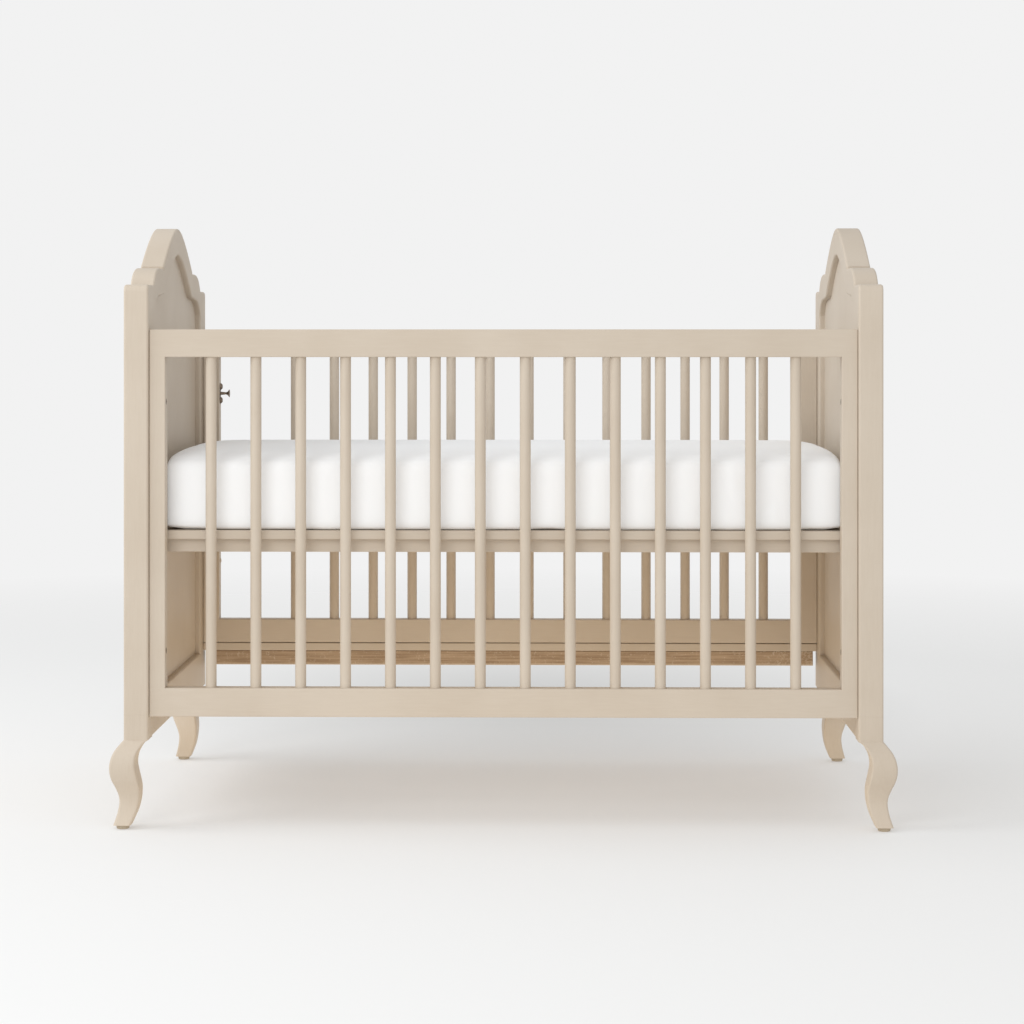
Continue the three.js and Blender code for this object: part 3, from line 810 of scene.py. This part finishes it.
# painted shade under the sill's overhang: a ragged darker band along the top of the batten
painted_shade_under_sill = raw_wood.between(up_batten + growth * 0.006, batten_high.z + 0.0005,
                             batten_high.z + 0.002)
with_painted_shade = raw_wood.blend(painted_shade_under_sill * 0.7, edged, (0.13, 0.085, 0.055, 1))
rough_end = raw_wood.between(along_batten, batten_high.x - 0.12, batten_high.x - 0.02)
scuff = raw_wood.between(speckle + rough_end * 0.12, 0.60, 0.66)
raw_wood.set(
    Base_Color=raw_wood.blend(scuff * 0.5, with_painted_shade, (0.68, 0.58, 0.46, 1)),
    Roughness=raw_wood.between(pores, 0.3, 0.7, 0.72, 0.88),
    Normal=raw_wood.bump(growth * 0.5 + pores * 0.5, 0.35, 0.001),
)
board("rear_sill_batten", "raw_batten", raw_wood, "frame", 0.0012)


# ---------------------------------------------------------------------------------------------
# Mattress base: a painted deck on two long rails and two end rails, sawn from planed boards with
# their edges just eased, and bolted between the end panels.
# ---------------------------------------------------------------------------------------------
base_edge = 0.0009
board("base_deck", "mattress_deck", paint_along_x, "mattress_base", base_edge)
for face_name in ("front", "rear"):
    board(f"base_{face_name}_rail", f"deck_{face_name}_bearer", paint_along_x, "mattress_base",
          base_edge)
for end in ("left", "right"):
    board(f"base_{end}_rail", f"deck_{end}_bearer", paint_along_y, "mattress_base",
          base_edge)


# ---------------------------------------------------------------------------------------------
# Mattress: a boxy foam block in a white fitted sheet of fine cotton. The sheet is tight over the
# crowned top, seamed round its upper edge, creased on its front, and gathered by elastic below.
# ---------------------------------------------------------------------------------------------
cotton = Finish("white_cotton_sheet")
threads = cotton.noise(cotton.place(), 1500, 2)
puckers = cotton.noise(cotton.place((9, 9, 2.2)), 3.0, 3, 0.55)
soft_folds = cotton.noise(cotton.place((2, 3, 2)), 2.0, 2, 0.5)
woven = cotton.bump(threads, 0.12, 0.0004)
puckered = cotton.bump(cotton.between(puckers, 0.35, 0.7), 0.08, 0.003, woven)
cotton.set(
    Base_Color=cotton.blend(threads, (0.925, 0.930, 0.935, 1), (0.950, 0.955, 0.960, 1)),
    Roughness=0.92,
    Sheen_Weight=0.1,
    Sheen_Roughness=0.5,
    Specular_IOR_Level=0.15,
    Normal=cotton.bump(soft_folds, 0.2, 0.004, puckered),
)

mattress_low, mattress_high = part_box("mattress")
swell = 0.004  # how far the tight faces bulge out of the plain block
edge_drop = 0.0165  # upper edges below the top of the crown's CAD solid
foam_edge_radius, voxel_size = 0.006, 0.0085
inflation_steps = 20
sheet_pressure, sheet_stiffness = 4, 25
mattress = plain_block("sheeted_mattress", mattress_low + Vector((swell, swell, 0)),
                       mattress_high - Vector((swell, swell, edge_drop)))
round_edges(mattress, foam_edge_radius, 3)
apply_modifier(mattress, "REMESH", mode="VOXEL", voxel_size=voxel_size)
unswollen = [vertex.co.copy() for vertex in mattress.data.vertices]
pick(mattress)
cloth = mattress.modifiers.new("cloth", "CLOTH")
cloth.settings.use_pressure = True
cloth.settings.uniform_pressure_force = sheet_pressure
cloth.settings.tension_stiffness = sheet_stiffness
cloth.settings.compression_stiffness = sheet_stiffness
cloth.settings.effector_weights.gravity = 0
cloth.point_cache.frame_start, cloth.point_cache.frame_end = 1, inflation_steps
for frame_number in range(1, inflation_steps + 1):
    bpy.context.scene.frame_set(frame_number)
bpy.ops.object.modifier_apply(modifier=cloth.name)
bpy.context.scene.frame_set(1)
for vertex, place in zip(mattress.data.vertices, unswollen):
    move = vertex.co - place
    if move.length > swell:
        vertex.co = place + move.normalized() * swell
apply_modifier(mattress, "SUBSURF", levels=1, render_levels=1)

seam_height = mattress_high.z - edge_drop - 0.0005
front_rise, end_reach, front_reach = 0.0115, 0.003, 0.013  # the padding over the upper edges
slow_rise = 0.0120  # the rest of the crown, towards the middle
softened_edge, squareness = 0.014, 4.5
creases = (  # along the front, half width, lean, depth, height of the middle, half height
    (0.353, 0.006, 0.25, 0.0016, 0.575, 0.045), (0.392, 0.009, -0.35, 0.0022, 0.585, 0.040),
    (0.423, 0.006, -0.15, 0.0014, 0.570, 0.050), (0.455, 0.010, 0.45, 0.0018, 0.545, 0.028),
    (0.487, 0.007, -0.30, 0.0014, 0.545, 0.030), (-0.300, 0.014, 0.20, 0.0010, 0.570, 0.050),
    (-0.120, 0.012, -0.25, 0.0009, 0.580, 0.045), (0.150, 0.012, 0.15, 0.0009, 0.575, 0.050),
    (-0.470, 0.009, -0.20, 0.0013, 0.560, 0.040),
)
end_lift, hem_lift_start, hem_lift_end = 0.0050, 0.47, 0.60
hem_x, hem_y, hem_width, hem_thickness = 0.545, 0.245, 0.004, 0.0012  # the elastic underneath
widest_y = 0.3065  # the sheet stays this side of the long faces of its space


def ramp(value, low, high):
    """From 0 at low to 1 at high, eased at both ends."""
    t = max(0, min(1, (value - low) / (high - low)))
    return t * t * (3 - 2 * t)


def hump(value, middle, reach):
    """1 at the middle, falling off smoothly to nothing some way past the reach."""
    return math.exp(-((value - middle) / reach) ** 2)


def square_up(place, middle, half):
    """Pushes a place on a rounded edge out towards the sharp corner of the block."""
    over = [max(0, abs(place[i] - middle[i]) - half[i] + softened_edge) / softened_edge
            for i in range(3)]
    if sum(share > 0 for share in over) < 2:
        return
    pushed = math.sqrt(sum(share ** 2 for share in over))
    pushed /= sum(share ** squareness for share in over) ** (1 / squareness)
    for i, share in enumerate(over):
        if share > 0:
            reach = half[i] - softened_edge + softened_edge * share * pushed
            place[i] = middle[i] + math.copysign(reach, place[i] - middle[i])


normals = [vertex.normal.copy() for vertex in mattress.data.vertices]
corners = [[pick_end(vertex.co[i] for vertex in mattress.data.vertices) for i in range(3)]
           for pick_end in (min, max)]
block_middle = [(low + high) / 2 for low, high in zip(*corners)]
block_half = [(high - low) / 2 for low, high in zip(*corners)]
for vertex, facing in zip(mattress.data.vertices, normals):
    square_up(vertex.co, block_middle, block_half)
    x, y, z = vertex.co
    across_x, across_y = x / mattress_high.x, y / mattress_high.y
    on_top = ramp(z, mattress_low.z + 0.06, seam_height - 0.002)
    padding = 1 - math.exp(-max(0, block_half[0] - abs(x)) / end_reach)
    padding *= 1 - math.exp(-max(0, block_half[1] - abs(y)) / front_reach)
    crown = front_rise * padding
    crown += slow_rise * max(0, 1 - 0.12 * across_x ** 6) * max(0, 1 - abs(across_y) ** 3.2)
    move = Vector((0, 0, crown * on_top * ramp(facing.z, -0.2, 0.5)))
    upright = 1 - min(1, abs(facing.z) * 1.3)
    slack = noise.noise(Vector((x * 4, y * 4, z * 9)))
    seam = hump(z, seam_height + 0.0012 * noise.noise(Vector((x * 9, y * 9, 0))), 0.0032)
    pinch = 0.0013 + 0.0009 * noise.noise(Vector((x * 16, y * 16, 3)))
    move -= facing * (upright * (seam * pinch + 0.0008 * slack))
    if facing.y < -0.5:
        for middle, half_width, lean, depth, height, half_height in creases:
            across_crease = x - middle - lean * (z - height)
            share = math.exp(-(across_crease / half_width) ** 2) * hump(z, height, half_height)
            move.y += depth * share * upright
    below = 1 - ramp(z, mattress_low.z, mattress_low.z + 0.03)
    edge_share = max(ramp(abs(across_x), 0.90, 0.99), ramp(abs(across_y), 0.88, 0.98))
    move.z += end_lift * below * edge_share * ramp(abs(x), hem_lift_start, hem_lift_end)
    move.z += 0.002 * below * edge_share * hump(x, 0.08, 0.026)
    gather = noise.noise(Vector((x * 30, y * 30, 7)))
    if facing.z < -0.7:
        hem_step = 1 - max(ramp(abs(x), hem_x, hem_x + hem_width),
                           ramp(abs(y), hem_y, hem_y + hem_width))
        move.z += hem_thickness * hem_step + 0.0005 * (1 - hem_step) * (1 + gather)
    vertex.co += move
    vertex.co.z = max(vertex.co.z, mattress_low.z - 0.0002)
    vertex.co.y = max(-widest_y, min(widest_y, vertex.co.y))
pick(mattress)
bpy.ops.object.shade_smooth()
wear(mattress, cotton)
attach(mattress, "mattress")
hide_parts("mattress")
